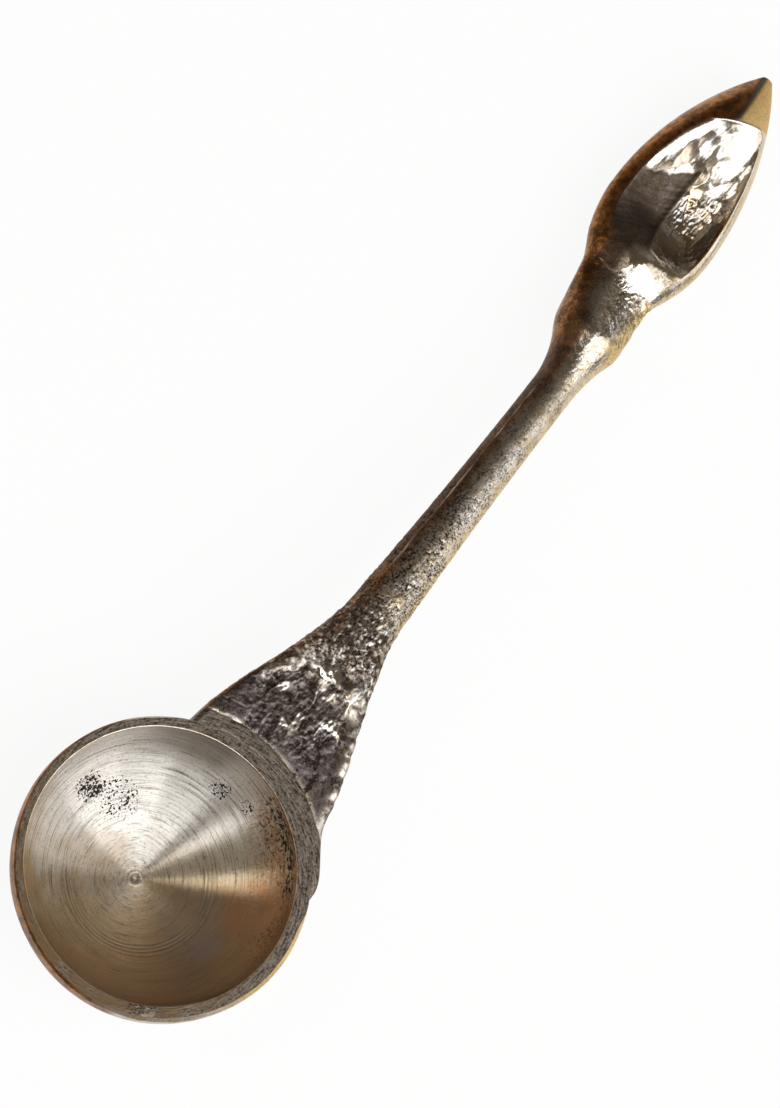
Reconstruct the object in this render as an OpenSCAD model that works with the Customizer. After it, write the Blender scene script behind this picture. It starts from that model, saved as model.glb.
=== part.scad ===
// Small cast brass ritual spoon: a turned round bowl, a fan shaped palm, a round stem,
// a swelling calyx and a hollowed leaf. The handle lies along +X, the bowl's axis is Z
// and the spoon stands on Z = 0. All lengths are in millimetres.

/* [Bowl] */
// Outside diameter of the bowl at the rim
bowl_d = 32; // [26:0.2:38]
// Height of the rim above the table
bowl_h = 11.4; // [9:0.2:15]
// Width of the flat land round the mouth
rim_w = 1.4; // [0.8:0.1:2]
// Depth of the hollow below the rim
bowl_depth = 10; // [7.5:0.1:13]
// Height of the upright part of the wall, outside and inside
wall_h = 1.2; // [0.6:0.1:3]
// Radius of the turn from the wall into the base, outside
shoulder_r = 6.6; // [4:0.1:7]
// Metal taken off under the bowl to leave the flat that it stands on
seat_cut = 0.2; // [0.05:0.05:0.4]
// Sideways set of the casting from the hollow that was turned in it
body_set = -0.4; // [-0.7:0.05:0.7]
// Diameter of the lathe's centre mark in the hollow
mark_d = 1.2; // [0.6:0.1:2]
// Depth of the centre mark
mark_depth = 0.35; // [0.1:0.05:0.6]
// Diameter of the faced circle that cleans the rim and the start of the palm
face_d = 35.2; // [33:0.2:40]

/* [Palm] */
// Length of the palm from the bowl's wall to the stem
palm_len = 22.1; // [17:0.1:30]
// Width of the palm where it leaves the bowl
palm_w = 18.2; // [14:0.1:21]
// Thickness of the palm where it leaves the bowl
palm_t = 3.4; // [2.5:0.1:5]
// Raw skin left standing above the faced circle
skin = 0.2; // [0.1:0.05:0.5]
// Distance from the bowl's wall to the head of the arch that ends the sunk panel
arch_len = 12.4; // [9:0.1:15]
// Length of the rounded head of the arch
arch_round = 5; // [3:0.1:7]
// Depth of the sunk panel below the rim
panel_depth = 0.5; // [0.2:0.05:0.9]
// Width of the border left beside the panel
panel_border = 0.9; // [0.5:0.1:2]
// Sideways set of the handle from the bowl's middle, as cast
handle_set = -2.35; // [-3:0.05:3]
// Length of the fillet that runs the palm's right edge into the bowl
root_len = 7; // [5:0.1:9]
// Widening of the palm's right edge at the end of that fillet
root_w = 3.3; // [2:0.1:4]

/* [Stem] */
// Length of the stem
stem_len = 31.8; // [20:0.2:45]
// Diameter of the stem at the palm
stem_root_d = 6.1; // [5:0.1:8]
// Diameter of the stem at the calyx
stem_end_d = 4.7; // [3.5:0.1:6]
// Sideways swing of the stem, as cast, in degrees
stem_swing = -2.1; // [-3:0.1:3]
// Distance of the stem's axis below the rim
stem_drop = 1; // [0:0.1:2]

/* [Calyx] */
// Length of the flare from the stem out to the shoulder of the calyx
flare_len = 7.2; // [5:0.1:9]
// Length of the calyx from its shoulder to the leaf
calyx_len = 7.9; // [5:0.1:12]
// Width of the calyx at its shoulder
calyx_w = 8.2; // [6.5:0.1:10]
// Width of the neck between calyx and leaf
neck_w = 9.2; // [8:0.1:12]
// Depth of the dip across the calyx between its shoulder and the leaf's lip
saddle = 1; // [0.3:0.1:1.4]

/* [Leaf] */
// Length of the leaf from the neck to its widest place
leaf_base_len = 9; // [5:0.1:13]
// Length of the leaf from its widest place to the tip
leaf_tip_len = 20.3; // [15:0.1:30]
// Width of the leaf at its widest place
leaf_w = 14; // [12.5:0.1:17]
// Sideways set of the leaf's neck from the line of the stem, as cast
leaf_set = 1.7; // [-2:0.05:2]
// Sideways set of the leaf's tip from the line of the stem, as cast
tip_set = 2.6; // [-3:0.05:3]
// Width of the blunt tip
tip_w = 1.4; // [0.8:0.1:2.5]
// Height of the leaf's edge above its axis at the widest place
edge_up = 2.4; // [1.6:0.1:3.2]
// Depth of the leaf's back below its axis at the widest place
back_down = 3.3; // [2.2:0.1:4.5]
// Rise of the leaf's tip above the line of the handle
tip_up = 2.4; // [0:0.1:4]
// Distance from the neck to the crest of the leaf's near lip
lip_len = 3.2; // [2:0.1:5]
// Distance from that lip to the deepest place of the hollow
deep_len = 7; // [5:0.1:10]
// Distance from the end of the hollow to the tip
end_len = 4; // [3:0.1:7]
// Depth of the hollow in the leaf
hollow_depth = 2.6; // [0.5:0.1:3]
// Width of the rim left round the hollow
hollow_rim = 1; // [0.6:0.1:2]

/* [Hidden] */
$fn = 96;
brass = "#b59a5b";
ring_sides = 40;
palm_rings = 32;
stem_steps = 12;
calyx_rings = 18;
leaf_rings = 34;
arch_steps = 24;
sweep_rims = 3;
lean_min = 1;
lean_max = 40;
lean_halvings = 24;
scan_step = 0.5;
overcut = 1;
mark_over = 0.1;
square_power = 6;
round_power = 2;
hollow_round = 1.5;

bowl_r = bowl_d / 2;
mouth_r = bowl_r - rim_w;
wall_z = bowl_h - wall_h;
floor_z = bowl_h - bowl_depth;
inner_shoulder_r = shoulder_r - rim_w;
palm_end = bowl_r + palm_len;
arch_end = bowl_r + arch_len;
root_from = bowl_r / 2;
palm_from = bowl_r - sweep_rims * rim_w;
stem_z = bowl_h - stem_drop;
stem_end = palm_end + stem_len;
stem_end_r = stem_end_d / 2;
neck_at = flare_len + calyx_len;
widest_at = neck_at + leaf_base_len;
tip_at = widest_at + leaf_tip_len;
lip_at = neck_at + lip_len;
deep_at = lip_at + deep_len;
hollow_end = tip_at - end_len;

// A value that eases from a to b while t runs from 0 to 1
function ease(a, b, t) = let (k = min(1, max(0, t))) a + (b - a) * k * k * (3 - 2 * k);

// Radius of the arc that leaves a straight line over length len and rises by rise
function arc_r(len, rise) = (len * len + rise * rise) / (2 * rise);

// Height of that arc at distance d from its start
function arc_rise(len, rise, d) = let (r = arc_r(len, rise)) r - sqrt(r * r - d * d);

// Radius of the base arc that runs on from a shoulder of radius r to the bottom of a dish
function base_r(wide, deep, r) = ((wide - r) ^ 2 + deep ^ 2 - r ^ 2) / (2 * (deep - r));

// Point of a ring at angle a: an oval of half width w, with its own heights above and below
// the axis; a power of 2 gives an ellipse and more gives a squarer section
function oval(a, w, up, down, power) =
    let (c = cos(a), s = sin(a), e = 2 / power)
    [w * sign(c) * abs(c) ^ e, (s > 0 ? up : -down) * abs(s) ^ e];

// Solid through a row of rings that have the same number of points
module loft(rings) {
    sides = len(rings[0]);
    last = len(rings) - 1;
    polyhedron(
        points = [for (ring = rings) each ring],
        faces = concat(
            [[for (j = [0:sides - 1]) j]],
            [[for (j = [sides - 1:-1:0]) last * sides + j]],
            [for (i = [0:last - 1], j = [0:sides - 1])
                let (a = i * sides + j, b = i * sides + (j + 1) % sides)
                each [[a, a + sides, b], [b, a + sides, b + sides]]]
        )
    );
}

// Half section of a dish: an upright wall, a shoulder arc and a base arc that meet smoothly
module dish_half(wide, top, wall_from, bottom, r) {
    base = base_r(wide, wall_from - bottom, r);
    lean = (wide - r) / (base - r);
    reach = base * lean / sqrt(1 - lean * lean);
    intersection() {
        translate([0, bottom]) square([wide, top - bottom]);
        union() {
            translate([0, wall_from]) square([wide, top - wall_from]);
            translate([wide - r, wall_from]) circle(r);
            intersection() {
                translate([0, bottom + base]) circle(base);
                polygon([
                    [0, bottom + base],
                    [reach, bottom],
                    [reach, bottom - overcut],
                    [0, bottom - overcut]
                ]);
            }
        }
    }
}

// The bowl as a full body up to height top, before the hollow is turned out
module bowl_body(top) {
    translate([0, body_set, 0])
    intersection() {
        rotate_extrude() dish_half(bowl_r, top, wall_z, -seat_cut, shoulder_r);
        cylinder(h = top, r = bowl_r + overcut);
    }
}

module bowl() {
    color(brass)
    difference() {
        bowl_body(bowl_h);
        rotate_extrude() dish_half(mouth_r, bowl_h + overcut, wall_z, floor_z, inner_shoulder_r);
        translate([0, 0, floor_z - mark_depth])
            cylinder(h = mark_depth + mark_over, r1 = 0, r2 = mark_d / 2);
    }
}

// The handle runs level to the head of the arch, turns down and aside through the neck and then
// runs straight: place, lean and swing at distance x from the bowl's axis, measured along it
function handle_line(lean, x) =
    let (
        turn = min(1, max(0, x - arch_end) / (palm_end - arch_end)),
        a = lean * turn,
        b = stem_swing * turn,
        arc = (palm_end - arch_end) * turn,
        straight = max(0, x - palm_end)
    )
    [
        min(x, arch_end) + arc * cos(a / 2) + straight * cos(a) * cos(b),
        arc * sin(b / 2) + straight * cos(a) * sin(b),
        -arc * sin(a / 2) - straight * sin(a),
        a,
        b
    ];

// Point y across and z above the handle's line at distance x
function on_handle(x, y, z) =
    let (p = handle_line(handle_lean, x), a = p[3], b = p[4])
    [
        p.x + z * sin(a) * cos(b) - y * sin(b),
        handle_set + p.y + z * sin(a) * sin(b) + y * cos(b),
        stem_z + p.z + z * cos(a)
    ];

// Half width of the palm, which draws in from the bowl to the stem in one smooth sweep
function palm_half(x) =
    let (t = max(0, x - palm_from) / (palm_end - palm_from))
    stem_root_d / 2 + (palm_w - stem_root_d) / 2 * (1 + cos(180 * t)) / 2;

// One ring of the palm, square at the bowl and round at the stem
function palm_ring(x) =
    let (
        rise = (x - arch_end + arch_round / 2) / arch_round,
        top = ease(stem_drop + skin, stem_root_d / 2, rise),
        under = ease(palm_t - stem_drop, stem_root_d / 2, (x - palm_from) / (palm_end - palm_from)),
        power = ease(square_power, round_power, (x - bowl_r) / palm_len),
        fillet = ease(root_w, 0, (x - root_from) / root_len)
    )
    [for (j = [0:ring_sides - 1])
        let (
            a = 360 * j / ring_sides,
            p = oval(a, palm_half(x) + (cos(a) < 0 ? fillet : 0), top, under, power)
        )
        on_handle(x, p.x, p.y)];

// Half width of the sunk panel, which ends in a round arch
function panel_half(x) =
    let (t = max(0, (x - arch_end + arch_round) / arch_round))
    (palm_half(x) - panel_border) * sqrt(max(0, 1 - t * t));

module panel_cut() {
    xs = [for (i = [0:arch_steps]) palm_from + (arch_end - palm_from) * sin(90 * i / arch_steps)];
    translate([0, 0, bowl_h - panel_depth])
    linear_extrude(height = bowl_h)
    difference() {
        translate([0, handle_set])
        polygon(concat(
            [for (x = xs) [x, panel_half(x)]],
            [for (i = [arch_steps - 1:-1:0]) [xs[i], -panel_half(xs[i])]]
        ));
        circle(d = face_d);
    }
}

module palm() {
    color(brass)
    difference() {
        loft([for (i = [0:palm_rings]) palm_ring(root_from + (palm_end - root_from) * i / palm_rings)]);
        bowl_body(bowl_h + overcut);
        translate([0, 0, bowl_h]) cylinder(h = bowl_h, d = face_d);
        panel_cut();
    }
}

// Radius of the stem at distance d from the palm, on a long hollow curve that thins it to the calyx
function stem_r(d) = stem_end_r + arc_rise(stem_len, stem_root_d / 2 - stem_end_r, stem_len - d);

module stem() {
    color(brass)
    translate(on_handle(palm_end, 0, 0))
    rotate([0, handle_lean, stem_swing])
    rotate([90, 0, 90])
    rotate_extrude()
    polygon(concat(
        [[0, 0]],
        [for (i = [0:stem_steps]) let (d = stem_len * i / stem_steps) [stem_r(d), d]],
        [[0, stem_len]]
    ));
}

// Half width along the calyx and the leaf, measured from the end of the stem
function finial_half(d) =
    d < flare_len ? stem_end_r + arc_rise(flare_len, calyx_w / 2 - stem_end_r, d) :
    d < neck_at ? (calyx_w + (neck_w - calyx_w) * (d - flare_len) / calyx_len) / 2 :
    d < widest_at ? leaf_w / 2 - arc_rise(leaf_base_len, (leaf_w - neck_w) / 2, widest_at - d) :
    leaf_w / 2 - arc_rise(leaf_tip_len, (leaf_w - tip_w) / 2, d - widest_at);

// Share of the half width that a height takes: full at the stem, flat at the leaf, full at the tip
function flatten(flat, d) =
    d < widest_at ? ease(1, flat, d / widest_at) :
    ease(flat, 1, (d - widest_at) / leaf_tip_len);

// Depth of the dip across the calyx
function dip(d) =
    let (t = (d - flare_len) / (lip_at - flare_len))
    t > 0 && t < 1 ? saddle * sin(180 * t) ^ 2 : 0;
function finial_up(d) = finial_half(d) * flatten(edge_up / (leaf_w / 2), d) - dip(d);
function finial_down(d) = finial_half(d) * flatten(back_down / (leaf_w / 2), d);

// Depth of the hollow at distance d along the leaf and y across it: it falls from the lip to the
// deepest place and then rises straight to its end
function hollow(d, y) =
    let (
        fall = ease(0, 1, (d - lip_at) / deep_len),
        rise = min(1, max(0, (hollow_end - d) / (hollow_end - deep_at))),
        w = finial_half(d) - hollow_rim,
        across = w > 0 ? max(0, 1 - (y / w) ^ 2) : 0
    )
    hollow_depth * fall * rise * across ^ hollow_round;

// Height by which the leaf bends up from the line of the handle
function finial_lift(d) = tip_up * (max(0, d - neck_at) / (tip_at - neck_at)) ^ 2;

// Height above the table of the lowest point of the leaf's back for a given lean of the handle
function lowest(lean) =
    min([for (d = [neck_at:scan_step:tip_at])
        let (p = handle_line(lean, stem_end + d))
        stem_z + p.z + (finial_lift(d) - finial_down(d)) * cos(lean)]);

// The lean at which the leaf's back just touches the table, found by halving the range
function find_lean(low, high, turns) =
    let (middle = (low + high) / 2)
    turns == 0 ? middle :
    lowest(middle) > 0 ? find_lean(middle, high, turns - 1) : find_lean(low, middle, turns - 1);
handle_lean = find_lean(lean_min, lean_max, lean_halvings);

// Sideways place of the calyx and leaf, set over through the calyx and then drifting to the tip
function finial_side(d) =
    ease(0, leaf_set, d / lip_at)
    + (tip_set - leaf_set) * max(0, d - neck_at) / (tip_at - neck_at);

function finial_ring(d) =
    [for (j = [0:ring_sides - 1])
        let (
            p = oval(360 * j / ring_sides, finial_half(d), finial_up(d), finial_down(d), round_power),
            z = p.y > 0 ? p.y - hollow(d, p.x) : p.y
        )
        on_handle(stem_end + d, finial_side(d) + p.x, finial_lift(d) + z)];

module calyx() {
    color(brass)
    loft([for (i = [0:calyx_rings]) finial_ring(neck_at * i / calyx_rings)]);
}

module leaf() {
    color(brass)
    loft([for (i = [0:leaf_rings]) finial_ring(neck_at + (tip_at - neck_at) * i / leaf_rings)]);
}

bowl();
palm();
stem();
calyx();
leaf();
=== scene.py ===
import math

import bpy
import numpy as np
from mathutils import Matrix, Vector


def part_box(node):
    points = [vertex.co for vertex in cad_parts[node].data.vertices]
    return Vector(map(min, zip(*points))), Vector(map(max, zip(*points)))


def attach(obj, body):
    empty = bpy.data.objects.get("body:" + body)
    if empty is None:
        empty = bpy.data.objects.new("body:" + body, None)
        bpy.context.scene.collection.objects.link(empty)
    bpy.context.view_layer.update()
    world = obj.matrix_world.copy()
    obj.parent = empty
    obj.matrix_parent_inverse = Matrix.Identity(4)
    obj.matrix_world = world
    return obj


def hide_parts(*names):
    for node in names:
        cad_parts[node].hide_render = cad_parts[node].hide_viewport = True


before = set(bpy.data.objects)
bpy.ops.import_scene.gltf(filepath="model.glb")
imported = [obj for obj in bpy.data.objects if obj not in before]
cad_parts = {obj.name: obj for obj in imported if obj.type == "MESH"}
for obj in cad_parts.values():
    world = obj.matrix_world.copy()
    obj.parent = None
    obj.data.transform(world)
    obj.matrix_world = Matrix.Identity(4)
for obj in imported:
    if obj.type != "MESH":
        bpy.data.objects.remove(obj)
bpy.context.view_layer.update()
mm = 0.001  # sizes below are in millimetres, meshes in metres
print("frame:", sorted(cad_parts))


# a value that eases from a to b while t runs from 0 to 1
def ease(a, b, t):
    k = np.clip(t, 0, 1)
    return a + (b - a) * k * k * (3 - 2 * k)


# 1 at t = 0, falling smoothly to 0 at t = -1 and t = 1
def bell(t):
    return (1 - np.clip(np.abs(t), 0, 1) ** 2) ** 2


# height at distance d of the arc that leaves a straight line and climbs by rise over length
def arcRise(length, rise, d):
    r = (length ** 2 + rise ** 2) / (2 * rise)
    return r - np.sqrt(np.maximum(r * r - d * d, 0))


# large numbers that spread the indices of a lattice point over all the bits
spread = {"i": 73856093, "j": 19349663, "k": 83492791, "seed": 40503, "once": 739981, "again": 567413}
allBits, lowBits = 0x7FFFFFFF, 0xFFFF


# one fixed number from 0 to 1 for each lattice point, mixed from its three whole indices
def latticeValue(i, j, k, seed):
    h = (i * spread["i"] ^ j * spread["j"] ^ k * spread["k"] ^ seed * spread["seed"]) & allBits
    h = (h ^ (h >> 15)) * spread["once"] & allBits
    h = (h ^ (h >> 12)) * spread["again"] & allBits
    return ((h ^ (h >> 9)) & lowBits) / lowBits


# smooth noise from -1 to 1: lattice values eased between the corners of cells of that size
def noise(p, size, seed):
    q = p / np.asarray(size, float)
    low = np.floor(q).astype(np.int64)
    f = q - low
    f = f * f * f * (f * (f * 6 - 15) + 10)
    total = 0
    for corner in np.ndindex(2, 2, 2):
        weight = np.prod(np.where(corner, f, 1 - f), axis=-1)
        total = total + weight * latticeValue(*(low[..., axis] + corner[axis] for axis in range(3)), seed)
    return 2 * total - 1


# noise summed over octaves, each half the size and a little over half the strength of the last
def cloud(p, size, seed, octaves=3, fade=0.55, shift=7.3, level=1.6):
    sizes = np.asarray(size, float)
    return sum(fade ** k * noise(p + shift * k, sizes / 2 ** k, seed + k) for k in range(octaves)) / level


# distance, in cells, to the nearest of points that are scattered one to each flat cell
def scatter(x, y, size, seed):
    q = np.stack([x, y], -1) / size
    low = np.floor(q).astype(np.int64)
    near = np.full(x.shape, np.inf)
    for di, dj in np.ndindex(3, 3):
        i, j = low[..., 0] + di - 1, low[..., 1] + dj - 1
        point = np.stack([i + latticeValue(i, j, 0, seed), j + latticeValue(i, j, 1, seed)], -1)
        near = np.minimum(near, np.linalg.norm(q - point, axis=-1))
    return near


# unit normals of a grid of points that closes round its second axis, by differences along both
def gridNormals(points, outward):
    along = np.gradient(points, axis=0)
    around = np.roll(points, -1, axis=1) - np.roll(points, 1, axis=1)
    n = np.cross(around, along) * outward
    return n / np.maximum(np.linalg.norm(n, axis=-1, keepdims=True), 1e-12)


# quads of a closed grid, turned so that they face outwards
def gridFaces(rows, columns, outward):
    i, j = np.meshgrid(np.arange(rows - 1), np.arange(columns), indexing="ij")
    a, b = i * columns + j, i * columns + (j + 1) % columns
    quads = np.stack([a, b, b + columns, a + columns], -1).reshape(-1, 4)
    return quads if outward > 0 else quads[:, ::-1]


# flat lid over one ring, ruled between the points that face each other above and below
def ringLid(start, columns, flip):
    half = columns // 2
    k = np.arange(1, half - 1)
    quads = start + np.stack([k, k + 1, columns - k - 1, columns - k], -1)
    ends = [[start, start + 1, start + columns - 1], [start + half - 1, start + half, start + half + 1]]
    faces = quads.tolist() + ends
    return [f[::-1] for f in faces] if flip else faces


# puts points, faces and per point values into a mesh object that rides on the frame and replaces its node
def makePiece(name, node, points, faces, values, materials, faceSlots, flatFaces=0, ring=0):
    mesh = bpy.data.meshes.new(name)
    mesh.from_pydata((points.reshape(-1, 3) * mm).tolist(), [], faces)
    smooth = np.ones(len(faces), bool)
    smooth[len(faces) - flatFaces:] = False
    mesh.polygons.foreach_set("use_smooth", smooth)
    if ring:  # sharp edges where the lids meet the sides
        pairs = np.empty(2 * len(mesh.edges), np.int32)
        mesh.edges.foreach_get("vertices", pairs)
        pairs = pairs.reshape(-1, 2)
        sharp = (pairs < ring).all(1) | (pairs >= len(mesh.vertices) - ring).all(1)
        mesh.edges.foreach_set("use_edge_sharp", sharp)
    for material in materials:
        mesh.materials.append(material)
    mesh.polygons.foreach_set("material_index", np.asarray(faceSlots, np.int32))
    for key, value in values.items():
        layer = mesh.attributes.new(key, "FLOAT", "POINT")
        layer.data.foreach_set("value", np.asarray(value, np.float32).ravel())
    mesh.update()
    piece = bpy.data.objects.new(name, mesh)
    bpy.context.scene.collection.objects.link(piece)
    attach(piece, "root")
    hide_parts(node)
    print(name, len(mesh.vertices), "points")
    return piece


# a colour written as screen values from 0 to 255, as the linear values that shaders take
def tone(r, g, b):
    return *(((c / 255 + 0.055) / 1.055) ** 2.4 for c in (r, g, b)), 1.0


# wraps a shader socket, so that sums on it add Math nodes
class Wire:
    def __init__(self, tree, socket):
        self.tree = tree
        self.socket = socket

    # a new node of that kind: its settings first, then the values or links of its sockets
    def node(self, kind, settings, sockets, out=0):
        made = self.tree.nodes.new(kind)
        for key, value in settings.items():
            setattr(made, key, value)
        for key, value in sockets.items():
            if isinstance(value, Wire):
                self.tree.links.new(value.socket, made.inputs[key])
            else:
                made.inputs[key].default_value = value
        return Wire(self.tree, made.outputs[out])

    def sum(self, operation, *values):
        return self.node("ShaderNodeMath", {"operation": operation}, dict(enumerate(values)))

    def __add__(self, other): return self.sum("ADD", self, other)
    def __radd__(self, other): return self.sum("ADD", other, self)
    def __sub__(self, other): return self.sum("SUBTRACT", self, other)
    def __rsub__(self, other): return self.sum("SUBTRACT", other, self)
    def __mul__(self, other): return self.sum("MULTIPLY", self, other)
    def __rmul__(self, other): return self.sum("MULTIPLY", other, self)

    # 0 below low, 1 above high and smooth between
    def step(self, low, high):
        ends = {"From Min": low, "From Max": high, "To Min": 0.0, "To Max": 1.0}
        if low > high:
            ends = {"From Min": high, "From Max": low, "To Min": 1.0, "To Max": 0.0}
        return self.node("ShaderNodeMapRange", {"interpolation_type": "SMOOTHSTEP"}, {"Value": self, **ends})

    # a colour between two others
    def mix(self, low, high):
        return self.node("ShaderNodeMix", {"data_type": "RGBA"}, {"Factor": self, 6: low, 7: high}, 2)


# starts a metal material and gives its shader node and a wire of the place on the piece
def startMetal(name, constants):
    material = bpy.data.materials.new(name)
    material.use_nodes = True
    tree = material.node_tree
    shader = tree.nodes["Principled BSDF"]
    shader.inputs["Metallic"].default_value = 1.0
    for key, value in constants.items():
        shader.inputs[key].default_value = value
    place = Wire(tree, tree.nodes.new("ShaderNodeTexCoord").outputs["Object"])
    return material, shader, place


def link(shader, key, wire):
    wire.tree.links.new(wire.socket, shader.inputs[key])


# a value that the mesh carries at each of its points
def attribute(place, name):
    return place.node("ShaderNodeAttribute", {"attribute_name": name}, {}, 2)


# noise in object space, of grains that size in millimetres
def grain(place, size, detail=3.0, rough=0.55):
    sockets = {"Vector": place, "Scale": 1 / (size * mm), "Detail": detail, "Roughness": rough}
    return place.node("ShaderNodeTexNoise", {}, sockets)


# 1 at a place in millimetres, fading to 0 at that radius
def spot(place, centre, radius):
    ends = {0: place, 1: [c * mm for c in centre]}
    gap = place.node("ShaderNodeVectorMath", {"operation": "DISTANCE"}, ends, 1)
    return gap.step(radius * mm, radius * mm * 0.35)


# the sum of several spots, each with its centre, radius and strength
def spots(place, marks):
    return sum(spot(place, centre, radius) * strength for centre, radius, strength in marks)


# x and y in millimetres, and the turn about the bowl's axis
def flatPlace(place):
    x, y = (place.node("ShaderNodeSeparateXYZ", {}, {0: place}, axis) * 1000 for axis in range(2))
    return x, y, x.sum("ARCTAN2", y, x)


# the normal of a surface that rises with a height, by that depth in metres at the most
def bumpy(place, height, strength, deep):
    return place.node("ShaderNodeBump", {}, {"Strength": strength, "Distance": deep, "Height": height})


castFinish = {
    "bright": tone(226, 219, 208),
    "tan": tone(202, 184, 152),
    "grey": tone(108, 100, 101),
    "gold": tone(226, 196, 138),
    "brown": tone(172, 118, 70),
    "umber": tone(118, 84, 54),
    "stainAndShade": tone(80, 66, 56),
    "sootAndShade": tone(40, 32, 27),
    "cloudSize": 2.6,
    "mottleSize": 0.7,
    "pockSize": 0.5,
    "gritSize": 0.24,
    "gritDepth": 0.00006,
}


# rough cast and rubbed brass: pale where it is handled, grey in the panel, a painted gold highlight on the
# right flank, a painted warm reflection on the left flank and below, sooty in its pits
def castBrass():
    c = castFinish
    material, shader, place = startMetal("castBrass", {})
    side, up = attribute(place, "side"), attribute(place, "up")
    relief, grit = attribute(place, "relief"), attribute(place, "grit")
    shine, dull = attribute(place, "shine"), attribute(place, "dull")
    stainAndShade, worn = attribute(place, "stainAndShade"), attribute(place, "worn")
    cloudy = grain(place, c["cloudSize"])
    fine = grain(place, c["gritSize"], 3.0, 0.65)
    body = cloudy.step(0.35, 0.7).mix(c["bright"], c["tan"])
    body = dull.mix(body, c["grey"])
    # painted highlight: gold on the surfaces that face right
    body = (side + cloudy * 0.3 - 0.15).step(-0.6, -0.95).mix(body, c["gold"])
    # painted reflection: warm brown on the surfaces that face left and on those below
    flank = (side + cloudy * 0.5 - 0.25).step(0.3, 0.7)
    warmReflection = flank + up.step(0.1, -0.3) * side.step(-0.5, 0.2)
    mottled = grain(place, c["mottleSize"]) * 0.7 + cloudy * 0.3
    warmReflectionTone = mottled.step(0.4, 0.62).mix(c["brown"], c["umber"])
    body = warmReflection.sum("MINIMUM", warmReflection, 1.0).mix(body, warmReflectionTone)
    # painted shade: darker blotches within the painted warm reflection
    body = (warmReflection * cloudy.step(0.4, 0.75) * 0.24).mix(body, c["sootAndShade"])
    # real stains in the palm, and painted shade on the left of the neck, stem, calyx and leaf
    body = stainAndShade.mix(body, c["stainAndShade"])
    body = worn.mix(body, c["bright"])
    # dark cavities: soot in the pits, with painted shade where the shade grit lowers the relief
    deep = (relief * 0.5 + (fine - 0.5) * 2.4).step(0.15, -0.4) * grit
    body = deep.mix(body, c["sootAndShade"])
    pocks = (grain(place, c["pockSize"], 2.0, 0.6) + 0.12 * cloudy).step(0.66, 0.72) * grit * grit
    body = (pocks * 0.55).mix(body, c["sootAndShade"])
    link(shader, "Base Color", body)
    link(shader, "Roughness", shine + 0.1 * cloudy + 0.1 * flank + 0.2 * stainAndShade + 0.15 * deep)
    link(shader, "Normal", bumpy(place, fine * grit, 0.8, c["gritDepth"]))
    return material


turnedFinish = {
    "bright": tone(220, 216, 208),
    "honey": tone(182, 158, 124),
    "brown": tone(160, 127, 90),
    "line": tone(116, 106, 93),
    "rust": tone(158, 115, 80),
    "scale": tone(84, 58, 40),
    "plum": tone(140, 124, 122),
    "shade": tone(96, 80, 70),
    "olive": tone(206, 196, 174),
    "pit": tone(36, 30, 27),
    "ringDepth": 0.00004,
    # places with their radius and strength
    "rustSpots": (((4.0, -11.2, 5.4), 4.4, 1.0), ((6.0, -12.6, 7.4), 3.0, 0.5)),
    "plumSpot": ((-2.0, -9.8, 4.2), 2.4),
    "pitGroups": (
        ((3.8, 10.1, 4.7), 2.3, 1.0),
        ((5.1, 6.9, 3.4), 3.6, 0.5),
        ((12.1, -1.0, 5.7), 1.7, 0.8),
        ((12.2, -4.3, 6.4), 1.1, 0.7),
    ),
}


# noise on a place that is put together from three wires
def lined(wires, detail, rough):
    at = wires[0].node("ShaderNodeCombineXYZ", {}, dict(enumerate(wires)))
    sockets = {"Vector": at, "Scale": 1.0, "Detail": detail, "Roughness": rough}
    return at.node("ShaderNodeTexNoise", {}, sockets)


# lines round the hollow: noise over the run from its middle, so many to a millimetre, with a sway round it
def ringLines(run, turn, count, sway, detail):
    return lined((run * count, turn.sum("COSINE", turn) * sway, turn.sum("SINE", turn) * sway), detail, 0.6)
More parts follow.
